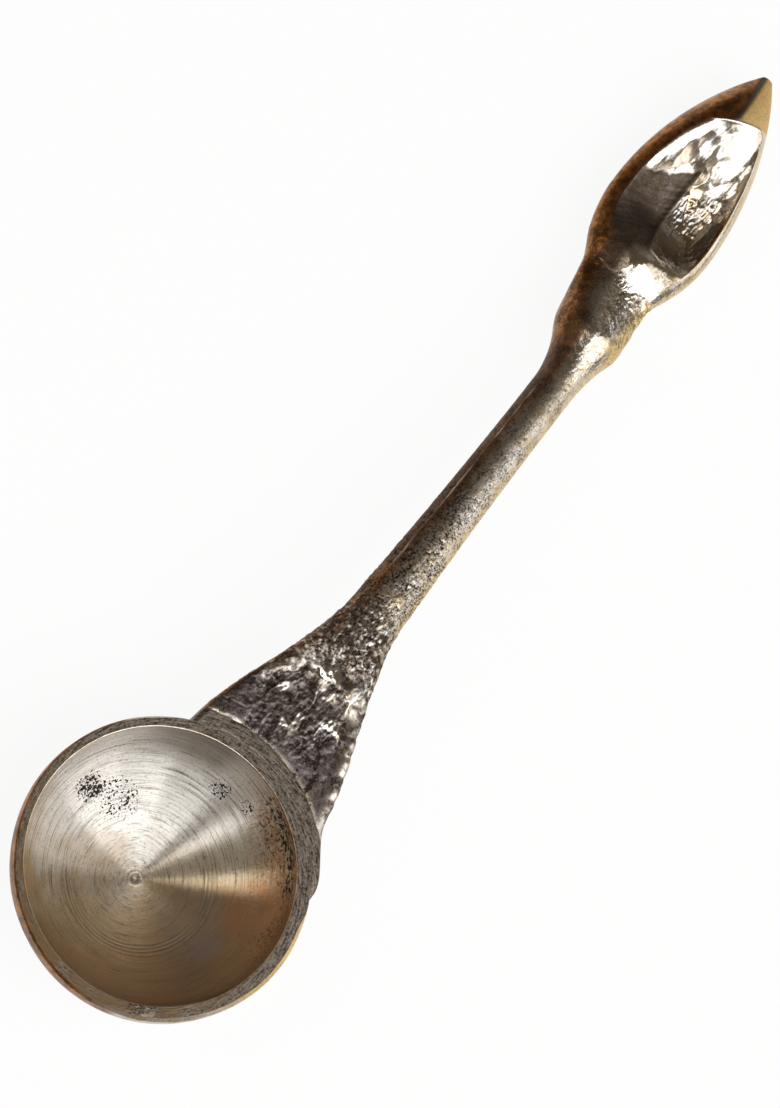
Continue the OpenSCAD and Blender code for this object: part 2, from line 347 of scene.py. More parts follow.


# the turned hollow: fine rings that spread light across them, brown tarnish away from the handle, a wedge of
# painted shade, an olive wedge of painted highlight, rust at the right edge, groups of pits and painted shade
# in the centre mark
def turnedBrass():
    c = turnedFinish
    constants = {"Metallic": 0.62, "Anisotropic": 1.0, "Anisotropic Rotation": 0.25}
    material, shader, place = startMetal("turnedBrass", constants)
    run, groove = attribute(place, "run"), attribute(place, "groove")
    x, y, turn = flatPlace(place)
    bands = ringLines(run, turn, 1.5, 0.7, 1.0)
    lines = ringLines(run, turn, 6.0, 2.5, 1.5)
    hair = ringLines(run, turn, 11.0, 4.0, 1.0)
    slow = grain(place, 4.5)
    speck = grain(place, 0.28, 1.5, 0.6)
    blots = grain(place, 0.5, 2.0, 0.65)
    edge = run.step(11.0, 16.5)

    # tarnish, then a wedge of painted shade and an olive wedge of painted highlight where a lamp's reflection
    # falls
    away = 0.8 * x + 0.6 * y
    tarnish = 0.37 - away * 0.066 + edge * 0.3 + (slow - 0.5) * 0.9
    body = tarnish.step(0.0, 0.6).mix(c["bright"], c["honey"])
    body = tarnish.step(0.5, 1.1).mix(body, c["brown"])
    dim = turn.step(-0.9, -1.25) * turn.step(-2.4, -1.9) * run.step(16.0, 9.0) * run.step(1.0, 5.0)
    body = (dim * 0.45).mix(body, c["shade"])
    body = (turn.step(-1.1, -0.9) * turn.step(-0.35, -0.6) * 0.55).mix(body, c["olive"])

    # turned lines, and smoke at the edge beside the handle
    scored = lines.step(0.5, 0.3) * 0.5 + hair.step(0.5, 0.3) * 0.3
    scored = scored + speck.step(0.5, 0.25) * 0.4 + groove * 0.5
    body = scored.sum("MINIMUM", scored, 1.0).mix(body, c["line"])
    smoky = turn.step(-0.1, 0.12) * turn.step(0.85, 0.45) * run.step(12.0, 15.5)
    body = (smoky * (0.35 + 0.6 * bands)).mix(body, c["line"])

    # rust on the right
    right = turn.step(-1.9, -1.3) * turn.step(-0.1, -0.6) * edge
    body = (right * (speck * 0.5 + blots).step(0.55, 0.95)).mix(body, c["rust"])
    body = (right * (speck + 0.3 * slow).step(0.66, 0.8)).mix(body, c["scale"])
    rusty = spots(place, c["rustSpots"]) * (speck * 0.9 + slow * 0.4).step(0.42, 0.8)
    body = rusty.mix(body, c["rust"])
    body = (spot(place, *c["plumSpot"]) * slow).mix(body, c["plum"])

    # pits: a chain along the edge and a few groups, and painted shade on the ring round the centre mark
    chain = run.step(16.2, 17.3) * run.step(19.4, 18.6) * turn.step(-1.25, -1.0) * turn.step(-0.25, -0.55)
    pitsAndMarkShade = (blots + chain * 0.1).step(0.6, 0.64) * chain.step(0.0, 0.2)
    group = spots(place, c["pitGroups"])
    pitsAndMarkShade = pitsAndMarkShade.sum("MAXIMUM", pitsAndMarkShade, (speck + group * 0.17).step(0.63, 0.7) * group.step(0.05, 0.4))
    # painted shade on the sunk ring of the centre mark
    markShade = run.step(0.14, 0.24) * run.step(0.6, 0.45)
    pitsAndMarkShade = pitsAndMarkShade.sum("MAXIMUM", pitsAndMarkShade, markShade * 0.5)
    body = pitsAndMarkShade.mix(body, c["pit"])
    link(shader, "Base Color", body)
    link(shader, "Roughness", 0.24 + 0.12 * lines + 0.2 * pitsAndMarkShade)
    height = bands + 0.5 * lines + 0.25 * speck - pitsAndMarkShade * 1.5
    link(shader, "Normal", bumpy(place, height, 0.7, c["ringDepth"]))
    return material


landFinish = {
    "grey": tone(140, 130, 118),
    "dark": tone(64, 56, 49),
    "brown": tone(116, 95, 70),
    "strokeDepth": 0.00004,
    "brownSpot": ((-10, 3, 11), 23),
    "chips": (((-13.7, -6.9, 11.4), 1.1, 1.0), ((-12.8, -7.8, 11.4), 1.0, 1.0)),
}


# the faced rim and the start of the palm: grey, with fine strokes of the tool round it and file marks across
def facedBrass():
    c = landFinish
    material, shader, place = startMetal("facedBrass", {})
    x, y, turn = flatPlace(place)
    radius = x.sum("SQRT", x * x + y * y)
    strokes = lined((radius * 5.0 + turn * 8.0, turn * 9.0, 0.0), 3.0, 0.7)  # they slant across the land
    cloudy = grain(place, 3.0)
    speck = grain(place, 0.3, 2.0, 0.6)
    body = (strokes * 0.6 + speck * 0.4).step(0.38, 0.6).mix(c["dark"], c["grey"])
    body = (cloudy.step(0.3, 0.6) * spot(place, *c["brownSpot"])).mix(body, c["brown"])
    link(shader, "Base Color", body)
    link(shader, "Roughness", 0.34 + 0.2 * strokes)
    height = strokes + 0.5 * speck + 9.0 * spots(place, c["chips"]) * speck
    link(shader, "Normal", bumpy(place, height, 0.8, c["strokeDepth"]))
    return material


cast, turned, facedMetal = castBrass(), turnedBrass(), facedBrass()
print("materials made")

bowlLow, bowlHigh = (np.array(corner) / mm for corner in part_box("bowl"))
bowl = {
    "radius": (bowlHigh[0] - bowlLow[0]) / 2,
    "height": bowlHigh[2],
    "castingSet": (bowlHigh[1] + bowlLow[1]) / 2,  # the casting lies off the axis of the hollow
    "land": 1.4,
    "depth": 10.0,
    "wall": 1.2,
    "shoulder": 6.6,
    "seatCut": 0.2,
    "markRadius": 0.6,
    "markDepth": 0.35,
    "edge": 0.13,  # rounding of the mouth's edge
    "chamfer": 0.45,
    "plainTurn": (-0.33, 0.82, 0.2),  # middle, half angle and fade of the rim that the chamfer leaves out
    "grooves": (  # distance from the middle and depth
        (7.4, 0.04), (7.8, 0.06), (8.2, 0.065), (8.7, 0.05),
        (3.2, 0.012), (5.2, 0.015), (10.6, 0.025), (9.6, 0.025),
    ),
    "grooveWidth": 0.15,
    "ripple": 0.006,  # unevenness of the turned hollow
    "waver": 0.07,  # unevenness of the outline
    # painted warm reflection on the outside towards this side, painted gold highlight away from it
    "brownSide": (-0.53, 0.85, 0),  # the outside is brown towards this side
    "seatFrom": 2.83,
    "seatRings": (2.7, 1.4, 0.3),
    "hollowRows": 200,
    "landRows": 16,
    "outsideRows": 70,
    "columns": 300,
}


# radius and height of a dish at distance s from its middle: a base arc, a shoulder arc and an upright wall
def dishCurve(wide, wallFrom, bottom, r, s):
    deep = wallFrom - bottom
    base = ((wide - r) ** 2 + deep ** 2 - r ** 2) / (2 * (deep - r))
    lean = math.asin((wide - r) / (base - r))
    first, second = base * lean, r * (math.pi / 2 - lean)
    a = np.minimum(s, first) / base
    b = lean + np.clip(s - first, 0, second) / r
    up = np.maximum(s - first - second, 0)
    onBase = s < first
    radius = np.where(onBase, base * np.sin(a), wide - r + r * np.sin(b))
    height = np.where(onBase, bottom + base * (1 - np.cos(a)), wallFrom - r * np.cos(b) + up)
    return radius, height, first + second


# the bowl: a profile of hollow, mouth, land, chamfer and outside, turned about the axis of the hollow,
# each row moved sideways by its share of the casting's set
def makeBowl():
    b = bowl
    mouth, wallFrom = b["radius"] - b["land"], b["height"] - b["wall"]
    floor = b["height"] - b["depth"]
    turn = np.linspace(0, 2 * math.pi, b["columns"], endpoint=False)[None, :]
    middle, plain, fade = b["plainTurn"]
    handleGap = np.abs((turn + math.pi - middle) % (2 * math.pi) - math.pi)
    chamfer = b["chamfer"] * ease(0.07, 1, (handleGap - plain) / fade)
    chamfer = chamfer * ease(0.35, 1, 0.5 - 0.6 * np.sin(turn))

    # hollow: the dish curve with turned grooves cut square to it and the centre mark
    curve = lambda s: dishCurve(mouth, wallFrom, floor, b["shoulder"] - b["land"], s)
    whole = curve(np.zeros(1))[2] + b["wall"]
    s = np.linspace(0.06, whole - b["edge"], b["hollowRows"])[:, None]
    r, z, _ = curve(s)
    ahead = curve(s + 0.01)
    slope = np.arctan2(ahead[1] - z, ahead[0] - r)
    low = ease(0.25, 1, 0.5 - 0.9 * np.sin(turn + 0.93))  # deeper on the side away from the handle
    cut = low * sum(deep * bell((s - at) / b["grooveWidth"]) for at, deep in b["grooves"])
    path = np.stack([s * 3.0 + 0 * turn, np.cos(turn) + 0 * s, np.sin(turn) + 0 * s], -1)
    cut = cut + b["ripple"] * noise(path, (0.9, 1.2, 1.2), 5)
    mark = b["markDepth"] * np.clip(1 - s / b["markRadius"], 0, 1)
    mark = mark - 0.05 * bell((s - b["markRadius"] - 0.12) / 0.2)  # its raised edge
    hollowR = r + np.sin(slope) * cut + 0 * turn
    hollowZ = z - np.cos(slope) * cut - mark + 0 * turn
    rows = [(hollowR, hollowZ, np.zeros_like(hollowR))]

    # rounded edge of the mouth
    bend = np.radians([15, 35, 55, 75])[:, None]
    lipR = mouth + b["edge"] * (1 - np.cos(bend)) + 0 * turn
    rows.append((lipR, b["height"] - b["edge"] * (1 - np.sin(bend)) + 0 * turn, 0 * lipR))

    # land and chamfer, which drift from the hollow's centre to the casting's
    k = np.linspace(0, 1, b["landRows"])[:, None]
    k = np.concatenate([[[0.0]], k * 0.97 + 0.015, [[1.0]]])
    circle = np.stack([np.cos(turn), np.sin(turn), 0 * turn], -1)
    outer = b["radius"] - chamfer + b["waver"] * noise(circle, 0.5, 9)
    landR = mouth + b["edge"] + (outer - mouth - b["edge"]) * k
    rows.append((landR, b["height"] + 0 * landR, k + 0 * turn))
    fall = np.linspace(0.04, 1, 6)[:, None]
    rows.append((outer + chamfer * fall, b["height"] - chamfer * fall, 1 + 0 * chamfer * fall))

    # outside of the casting down to the flat that it stands on
    outside = lambda s: dishCurve(b["radius"], wallFrom, -b["seatCut"], b["shoulder"], s)
    reach = outside(np.zeros(1))[2] + b["wall"]
    down = np.linspace(reach - 0.5, b["seatFrom"], b["outsideRows"])[:, None]
    r, z, _ = outside(down)
    swell = (outer + chamfer - b["radius"]) * ease(0, 1, (z - 3) / 6)
    rows.append((r + swell, np.maximum(z, 0) + 0 * turn, 1 + 0 * turn + 0 * z))
    seat = np.array(b["seatRings"])[:, None]
    rows.append((seat + 0 * turn, 0 * seat + 0 * turn, 1 + 0 * turn + 0 * seat))

    counts = [part[0].shape[0] for part in rows]
    radius, height, shift = (np.concatenate([part[c] for part in rows]) for c in range(3))
    points = np.stack([radius * np.cos(turn), radius * np.sin(turn) + shift * b["castingSet"], height], -1)
    normals = gridNormals(points, -1)
    total, columns = points.shape[:2]
    run = np.concatenate([s[:, 0], np.full(total - len(s), whole)])[:, None] + 0 * turn

    # poles: one point closes the mark, one the seat
    bottom = np.array([[0, 0, floor - b["markDepth"]], [0, b["castingSet"], 0]])
    flat = np.concatenate([points.reshape(-1, 3), bottom])
    faces = gridFaces(total, columns, -1).tolist()
    j = np.arange(columns)
    top = total * columns
    lower = top - columns
    faces += np.stack([j, (j + 1) % columns, 0 * j + top], -1).tolist()
    faces += np.stack([lower + (j + 1) % columns, lower + j, 0 * j + top + 1], -1).tolist()
    row = np.repeat(np.arange(total - 1), columns)
    first, second = counts[0] - 1, counts[0] + counts[1]
    slots = np.where(row < first, 0, np.where((row < second) | (row >= second + counts[2]), 2, 1))
    slots = np.concatenate([slots, np.zeros(columns), np.full(columns, 2)])
    ends = lambda v, atMark, atSeat: np.concatenate([v.ravel(), [atMark, atSeat]])
    wall = ends(0 * run + 1, 0, 1)
    scored = np.concatenate([np.clip(cut / 0.05, 0, 1), np.zeros((total - len(s), columns))])
    values = {
        "run": ends(run, 0, whole),
        "groove": ends(scored, 0, 0),
        "side": ends(2 * normals @ b["brownSide"], 0, 0),
        "up": ends(normals[..., 2], 1, -1),
        "relief": ends(cloud(points, 0.9, 21), 0, 0),
        "grit": 0.3 * wall,
        "shine": 0.26 * wall,
        "dull": 0 * wall,
    }
    metals = [turned, facedMetal, cast]
    piece = makePiece("spoonBowl", "bowl", flat, faces, values, metals, slots)
    wide, tall = b["radius"] * mm, b["height"] / 2 * mm
    piece.data.use_auto_texspace = False  # the grain of the rings runs round the hollow's own axis
    piece.data.texspace_location = (0, 0, tall)
    piece.data.texspace_size = (wide, wide, tall)


makeBowl()

handle = {
    "set": -2.35,  # sideways place of the handle's line
    "lineDepth": 1.0,  # of that line below the rim
    "lean": math.radians(5.967),
    "swing": math.radians(-2.1),
    "archEnd": 28.4,
    "palmEnd": 38.1,
    "stemEnd": 69.9,
}
handle["axisHeight"] = bowl["height"] - handle["lineDepth"]


# points y across and z above the handle's line, which is level, turns through the neck and runs straight
def onHandle(x, y, z):
    h = handle
    neck = h["palmEnd"] - h["archEnd"]
    turn = np.clip((x - h["archEnd"]) / neck, 0, 1)
    a, b = h["lean"] * turn, h["swing"] * turn
    arc, straight = neck * turn, np.maximum(x - h["palmEnd"], 0)
    px = np.minimum(x, h["archEnd"]) + arc * np.cos(a / 2) + straight * np.cos(a) * np.cos(b)
    py = arc * np.sin(b / 2) + straight * np.cos(a) * np.sin(b)
    pz = -arc * np.sin(a / 2) - straight * np.sin(a)
    return np.stack([
        px + z * np.sin(a) * np.cos(b) - y * np.sin(b),
        h["set"] + py + z * np.sin(a) * np.sin(b) + y * np.cos(b),
        h["axisHeight"] + pz + z * np.cos(a),
    ], -1)


# angles round a section, as many above as below and crowded on its top: the same for all the pieces,
# so that they meet
def sectionAngles(count=400, crowd=2.6):
    a = np.linspace(0, math.pi, 721)
    share = np.cumsum(1 + (crowd - 1) * np.sin(a) ** 4)
    above = np.interp(np.linspace(share[0], share[-1], count // 2 + 1), share, a)
    return np.concatenate([above, -above[-2:0:-1]])[None, :]


# point of an oval at angle a: half width, heights above and below, and a power that squares its corners
def oval(a, half, up, down, power):
    c, s = np.cos(a), np.sin(a)
    r = (np.abs(c) ** power + np.abs(s) ** power) ** (-1 / power)
    return half * c * r, np.where(s > 0, up, down) * s * r


# how the cast skin changes along the handle, at distances from the bowl's axis
castSkin = {
    "at": (16, 26, 31, 38, 46, 56, 68, 74, 84, 92, 109, 115),
    "grains": (0.06, 0.07, 0.12, 0.09, 0.05, 0.022, 0.014, 0.02, 0.03, 0.012, 0.01, 0.008),
    "lumps": (0.04, 0.06, 0.08, 0.07, 0.03, 0.020, 0.020, 0.05, 0.06, 0.03, 0.02, 0.02),
    "grit": (0.9, 0.9, 1.0, 1.0, 1.0, 0.8, 0.65, 0.55, 0.65, 0.3, 0.15, 0.15),
    "shine": (0.36, 0.27, 0.30, 0.32, 0.32, 0.30, 0.26, 0.12, 0.11, 0.12, 0.13, 0.42),
}


# closes a tube of rings with lids at both ends, moves it by relief and skin along its normals, and makes
# the piece with the values that its finish reads
def makeTube(name, node, x, points, relief, cavity, looks, calm=1, faced=None):
    rows, columns = points.shape[:2]
    k = {key: np.interp(x, castSkin["at"], castSkin[key]) for key in castSkin if key != "at"}
    lumps, grains = cloud(points, 1.6, 41), cloud(points, 0.4, 43)
    skin = calm * (k["lumps"] * lumps + k["grains"] * grains)
    base = gridNormals(points, 1)
    amount = relief + skin if faced is None else np.where(faced, 0, relief + skin)
    moved = points + base * amount[..., None]
    faces = gridFaces(rows, columns, 1).tolist()
    lids = ringLid(0, columns, True) + ringLid((rows - 1) * columns, columns, False)
    kinds = ("dull", "worn", "stainAndShade", "matt", "inside", "lean", "shadeGrit")
    look = {kind: looks.get(kind, 0) + 0 * x for kind in kinds}
    # side, pushed by lean and cancelled inside hollows, places the painted gold highlight and warm
    # reflection; the shade grit adds painted shade to the grit and cavities
    values = {
        "side": base[..., 1] * (1 - look["inside"]) + look["lean"],
        "up": base[..., 2],
        "relief": cavity + 0.5 * lumps + 0.5 * grains - look["shadeGrit"],
        "grit": np.maximum(k["grit"] * (1 - look["worn"]), look["shadeGrit"]),
        "shine": k["shine"] + 0.2 * look["matt"] - 0.12 * look["worn"],
        "dull": look["dull"],
        "worn": look["worn"],
        "stainAndShade": look["stainAndShade"],
    }
    slots = np.zeros(len(faces) + len(lids))
    if faced is not None:
        both = faced[:-1] & faced[1:]
        slots[:len(faces)] = (both & np.roll(both, -1, axis=1)).ravel()
    metals = [cast] if faced is None else [cast, facedMetal]
    makePiece(name, node, moved, faces + lids, values, metals, slots, len(lids), columns)


palm = {
    "from": 11.8,
    "width": 18.2,
    "thickness": 3.4,
    "square": 6.0,  # power of the section at the bowl; the stem is round
    "rootFrom": 8.0,
    "rootLength": 7.0,
    "rootWidth": 3.3,
    "skin": 0.2,
    "archRound": 5.0,
    "faceRadius": 17.6,
    "panelDepth": 0.5,
    "border": 0.9,
    "stemRoot": 6.1,
    "insideWall": 0.5,  # the palm's mesh starts this far inside the bowl's outer wall
    "plainLine": (17.4, 3.9, 0.244),  # place along, place across and slope: plain to the left of it
    "torn": 0.13,  # heights of the panel's ridges, shreds, lumps and crumbs
    "shreds": 0.045,
    "lumps": 0.08,
    "crumbs": 0.032,
    "step": (23.2, 0.14),  # place along and height
    "scratch": (1.65, 0.07),  # place beyond the faced circle and depth
    "notches": ((24.3, 0.8), (22.4, 0.6), (20.1, 1.0), (19.1, 0.6), (17.5, 0.9), (15.7, 0.7)),
    "notchDepth": 0.15,
    "mound": (26.6, -3.3, 1.9),  # place along, place across and radius
    "moundHeight": 0.4,
    "shoulder": (27.2, -3.3, 1.2),
    "rows": 220,
}


# the palm: ovals that narrow by half a cosine from the bowl to the stem and turn from square to round,
# cut flat by the faced circle and sunk by the panel
def makePalm():
    p, h = palm, handle
    angles = sectionAngles()
    end = h["palmEnd"]
    sweep = lambda x: np.maximum(x - p["from"], 0) / (end - p["from"])
    root = p["stemRoot"] / 2

    def halfWidth(x, a):
        half = root + (p["width"] / 2 - root) * (1 + np.cos(math.pi * sweep(x))) / 2
        fillet = ease(p["rootWidth"], 0, (x - p["rootFrom"]) / p["rootLength"])
        return half + np.where(np.cos(a) < 0, fillet, 0)

    # each line of the mesh starts where it leaves the bowl's wall
    wallRadius = bowl["radius"] - p["insideWall"]
    start = np.full_like(angles, 14.0)
    for attempt in range(12):  # closes in by halves
        y, _ = oval(angles, halfWidth(start, angles), 1, 1, p["square"])
        off = h["set"] + y - bowl["castingSet"]
        start = 0.5 * start + 0.5 * np.sqrt(np.maximum(wallRadius ** 2 - off ** 2, 49))
    x = start + (end - start) * np.linspace(0, 1, p["rows"])[:, None]
    a = angles + 0 * x
    top = ease(h["lineDepth"] + p["skin"], root, (x - h["archEnd"] + p["archRound"] / 2) / p["archRound"])
    under = ease(p["thickness"] - h["lineDepth"], root, sweep(x))
    power = ease(p["square"], 2.0, (x - bowl["radius"]) / (end - bowl["radius"]))
    half = halfWidth(x, a)
    y, z = oval(a, half, top, under, power)

    # sunk panel beyond the faced circle: its floor falls away to an arched end wall
    level = bowl["height"] - h["axisHeight"]
    fromAxis = np.hypot(x, y + h["set"])
    beyond = fromAxis - p["faceRadius"]
    arch = np.clip((x - h["archEnd"] + p["archRound"]) / p["archRound"], 0, 1)
    panelHalf = (half - p["border"]) * np.sqrt(1 - arch ** 2)
    wander = 0.35 * noise(np.stack([x, y, 0 * x], -1), 1.1, 30)
    along, across, slope = p["plainLine"]
    plain = across + slope * (x - along)
    left = ease(1, 0, (y - np.minimum(panelHalf - 1.1, plain) + wander) / ease(2.6, 1.8, (x - 20) / 4))
    left = left * ease(1, 0, (x - h["archEnd"] + 2.6 + wander) / 3.0)
    right = ease(1, 0, (-y - half + 2.2) / 1.6)
    right = right * ease(1, 0, (x - 25.8 + 0.25 * y + 2 * wander) / 2.6)  # runs out without a wall
    inPanel = ease(0, 1, (beyond + 0.35) / 0.4) * (left + (right - left) * ease(1, 0, (y + 1) / 2))
    onTop = (np.sin(a) > 0) & (np.abs(y) < half)
    deep = p["panelDepth"] * ease(0.08, 1.2, beyond / 8)
    inBowl = np.hypot(x, y + h["set"] - bowl["castingSet"]) < bowl["radius"] + 0.05
    limit = level + 3 * np.maximum(beyond, 0) - 0.03 * inBowl
    z = np.where(onTop, np.minimum(z, limit), z)
    z = np.where(onTop, z - inPanel * np.maximum(z - level + deep, 0), z)
    points = onHandle(x, y, z)

    # relief: torn ridges along the panel, a step across it, a scratch beside the faced circle, notches on the
    # right and a mound at the arch
    up = ease(0, 1, np.sin(a) * 4)
    rough = up * ease(0, 1, (beyond + 0.1) / 0.6)
    flow = points + np.stack([0 * x, 0.7 * noise(points, 2.2, 37), 0 * x], -1)
    torn = 1 - 2 * np.abs(noise(flow, (2.4, 0.8, 2.0), 31))
    shreds = 1 - 2 * np.abs(noise(points, (0.6, 0.3, 1.0), 32))
    crumbs = noise(points, (0.35, 0.22, 0.5), 35)
    lumps = cloud(points, 1.5, 33)
    stepAt = p["step"][0] + 0.9 * noise(points * (0, 1, 0), 2.0, 36)
    corner = (x + 0.6 * y - 16.2) / 4.5  # 0 in the right corner beside the bowl, 1 further in
    inner = ease(0, 1, inPanel * 1.5)
    cavity = rough * inner * (0.75 * torn + 0.65 * shreds + 0.6 * lumps) - 0.35 * inner * rough
    inner = inner * ease(1, 0, (y - plain) / 0.9)
    patch = cloud(points, 2.4, 34)
    calmer = ease(0.12, 1, corner) * ease(0.35, 1.5, 0.5 + 1.2 * patch)
    ragged = calmer * (p["torn"] * torn + p["shreds"] * shreds + p["lumps"] * lumps)
    relief = rough * inner * (ragged + p["crumbs"] * crumbs)
    relief = relief + rough * inner * p["step"][1] * ease(0, 1, (x - stepAt) / 0.7)
    at, scratch = p["scratch"]
    relief = relief - scratch * bell((beyond - at) / 0.2) * ease(0, 1, (y - 4.9) / 0.6) * up
    border = ease(0, 1, (-y - half + 2.0) / 0.9) * up * ease(1, 0, (x - 25.5) / 1.5)
    for at, size in p["notches"]:
        notch = bell((x - at + 0.7 * (y + half)) / (0.4 + 0.3 * size))
        relief = relief - p["notchDepth"] * size * border * notch
    blob = lambda at: bell(np.hypot(x - at[0], (y - at[1]) / 1.5) / at[2]) * up
    mound, shoulder = blob(p["mound"]), blob(p["shoulder"])
    relief = relief + p["moundHeight"] * mound
    calm = ease(0, 1, beyond / ease(2.5, 1, (y + 6) / 6)) * ease(0.5, 1, corner)
    faced = onTop & (beyond < 0.02)

    # looks: grey in the panel, worn on its end wall, crests and chipped border, stained in patches, with
    # painted shade on the left of the neck
    wall = bell((inPanel - 0.45) / 0.5) * ease(0, 1, (x - 24) / 2) * ease(0, 1, 0.6 + noise(points, 1.0, 38))
    dull = rough * (0.55 + 0.35 * inner) * ease(1, 0, (x - 31) / 8) * (1 - wall)
    leftPlain = rough * ease(0, 1, (y - plain) / 0.9) * ease(1, 0, (x - 24) / 2)
    dull = np.maximum(dull, 0.95 * leftPlain)
    crest = rough * inner * ease(0, 1, (torn - 0.66) / 0.2) * ease(0, 1, 0.45 + 1.6 * noise(points, 1.3, 40))
    crest = crest * ease(0.1, 1, corner)
    chips = bell((half + y - 0.5) / 0.6) * up * ease(1, 0, (x - 26) / 2)
    chips = chips * ease(0, 1, 0.5 + 2 * noise(points, (0.7, 2, 2), 44))
    worn = np.maximum(np.maximum(wall, shoulder), 0.9 * np.maximum(crest, chips))
    beyondArch = ease(1, 0, inPanel * 4) * ease(0, 1, (x - 23.5) / 2) * ease(1, 0, (x - 34) / 5)
    worn = np.maximum(worn, 0.7 * beyondArch * up * ease(0, 1, 2.2 * cloud(points, 0.45, 45) - 0.3))
    neckStain = beyondArch * up * ease(0, 1, 0.6 + 1.8 * cloud(points, 0.5, 39)) * (1 - shoulder)
    panelStain = 0.45 * rough * inner * ease(0, 1, 0.4 - 1.6 * patch)
    panelStain = np.maximum(panelStain, 0.4 * np.maximum(leftPlain, border * (1 - chips)))
    inside = up * ease(1, 0, (np.abs(y) - half + 0.9) / 0.6) * ease(1, 0, (x - 26) / 4)
    # painted shade: the left half of the neck darker, as on the stem
    leftNeckShade = 0.4 * ease(0, 1, (y + 0.3) / 1.1) * ease(0, 1, (x - 33) / 5)
    stainsAndShade = np.maximum(np.maximum(neckStain, panelStain), leftNeckShade)
    looks = {"dull": dull, "worn": worn, "stainAndShade": stainsAndShade, "inside": inside}
    makeTube("spoonPalm", "palm", x, points, relief * ease(0.3, 1, calm), cavity, looks, calm, faced)


makePalm()

stem = {
    "rootRadius": 3.05,
    "endRadius": 2.35,
    "partingAngle": math.radians(41),
    "partingHeight": 0.07,
    "rows": 220,
}


# the stem: circles whose radius follows an arc from the palm to the calyx, with a parting line on the left
# and painted shade on its left half
def makeStem():
    t, h = stem, handle
    length = h["stemEnd"] - h["palmEnd"]
    d = np.linspace(0, length, t["rows"])[:, None]
    a = sectionAngles() + 0 * d
    radius = t["endRadius"] + arcRise(length, t["rootRadius"] - t["endRadius"], length - d)
    y, z = oval(a, radius, radius, radius, 2.0)
    x = h["palmEnd"] + d + 0 * a
    points = onHandle(x, y, z)
    parting = bell((a - t["partingAngle"]) / 0.08) * ease(0, 1, d / 6) * ease(1, 0, (d - length + 4) / 4)
    broken = ease(0, 1, 0.5 + 1.5 * noise(points, (1.5, 3, 3), 51))
    # painted shade: the left half of the stem darker
    stainAndShade = 0.65 * ease(0, 1, (y + 0.3) / 1.1) * ease(0.62, 1, d / 8)
    looks = {"worn": 0.45 * parting * broken, "stainAndShade": stainAndShade}
    makeTube("spoonStem", "stem", x, points, t["partingHeight"] * parting, 0.5 * parting, looks)


makeStem()

finial = {
    "stemRadius": 2.35,
    "flareLength": 7.2,
    "calyxLength": 7.9,
    "calyxWidth": 8.2,
    "neckWidth": 9.2,
    "saddle": 1.0,
    "lip": 18.3,  # crest of the leaf's near lip
    "leafBase": 9.0,
    "leafTip": 20.3,
    "leafWidth": 14.0,
    "tipWidth": 1.4,
    "edgeUp": 2.4,
    "backDown": 3.3,
    "hollowDepth": 3.7,
    "hollowDeepest": 25.3,
    "hollowEnd": 37.0,
    "hollowSlant": -0.5,  # the hollow ends further out on the right
    "hollowRim": (1.1, 1.5),  # right and left
    "fold": 6.0,  # how far the deepest line bends towards the tip
    "leafSet": 1.7,
    "tipSet": 2.6,
    "tipUp": 2.4,
    "soft": 0.6,  # rounding of the cast corners along the outline
    "swellings": ((17.4, -0.6, 3.2, 0.45), (7.2, -0.7, 3.0, 0.25)),  # place along, across, radius and height
    "rubbedLip": (16.9, -0.6, 2.8),  # place along, across and radius
    "polishLine": ((-5, -0.8, -0.3, 4.8), (30.7, 28.3, 31.3, 26.4)),  # places across, and along from the stem
    "hammer": (1.9, 0.1),  # size of the dimples and their height
    "calyxRows": 160,
    "leafRows": 240,
}
neckAt = finial["flareLength"] + finial["calyxLength"]
widestAt = neckAt + finial["leafBase"]
tipAt = widestAt + finial["leafTip"]


# half width of the calyx and leaf: arcs and a straight run, averaged over a short length to round the corners
def finialHalf(d):
    f = finial
    wide = f["leafWidth"] / 2
    s = np.arange(-4, tipAt + 0.01, 0.05)
    onFlare = np.clip(s, 0, f["flareLength"])
    flare = f["stemRadius"] + arcRise(f["flareLength"], f["calyxWidth"] / 2 - f["stemRadius"], onFlare)
    widening = f["neckWidth"] - f["calyxWidth"]
    body = (f["calyxWidth"] + widening * (s - f["flareLength"]) / f["calyxLength"]) / 2
    base = wide - arcRise(f["leafBase"], wide - f["neckWidth"] / 2, widestAt - s)
    point = wide - arcRise(f["leafTip"], wide - f["tipWidth"] / 2, np.maximum(s - widestAt, 0))
    half = np.select([s < f["flareLength"], s < neckAt, s < widestAt], [flare, body, base], point)
    k = np.arange(-40, 41) * 0.05
    weight = np.exp(-0.5 * (k / f["soft"]) ** 2)
    smooth = np.convolve(np.pad(half, 40, mode="edge"), weight / weight.sum(), "valid")
    corner = ease(0, 1, s / 2) * ease(1, 0, (s - widestAt - 4) / 4)
    return np.interp(d, s, half + (smooth - half) * corner)


